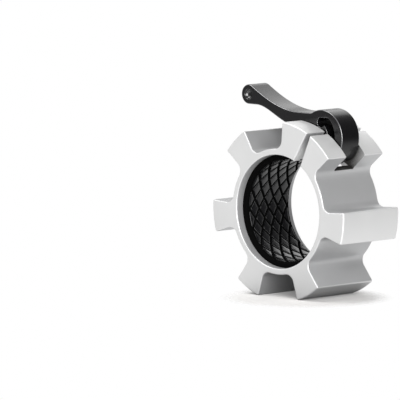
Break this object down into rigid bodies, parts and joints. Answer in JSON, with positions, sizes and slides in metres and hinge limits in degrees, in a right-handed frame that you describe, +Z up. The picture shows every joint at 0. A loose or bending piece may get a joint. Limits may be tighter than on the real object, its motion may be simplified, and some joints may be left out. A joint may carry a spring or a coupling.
{
  "type": "barbell collar",
  "caption": "Quick-release clamp collar for a 50 mm barbell sleeve: lugged split aluminium ring, rubber-lined bore and a swinging cam lever in the split lug.",
  "frame": {"origin": "on the surface the collar stands on, under the middle of its bore", "axes": "+Y along the bore from the front face to the back face, +Z up, +X to the right as the front face is seen; the lever's handle points to -X"},
  "size_m": [0.0908, 0.04, 0.104],
  "materials": {
    "clamp_ring": "bead-blasted and clear anodised, satin",
    "lever": "moulded glass-filled nylon, satin black",
    "pins": "ground dowel steel",
    "bore_liner": "moulded rubber, black, treaded"
  },
  "bodies": {
    "ring": {"clamp_ring": "clamp_ring", "pivot_pin": "pins", "cam_pin": "pins", "bore_liner": "bore_liner"},
    "lever": {"lever": "lever"}
  },
  "joints": [
    {"name": "lever_pivot", "type": "hinge", "parent": "ring", "child": "lever", "pos_m": [0.01402, 0, 0.08143], "axis": [0, 1, 0], "range_deg": [0, 45]}
  ]
}
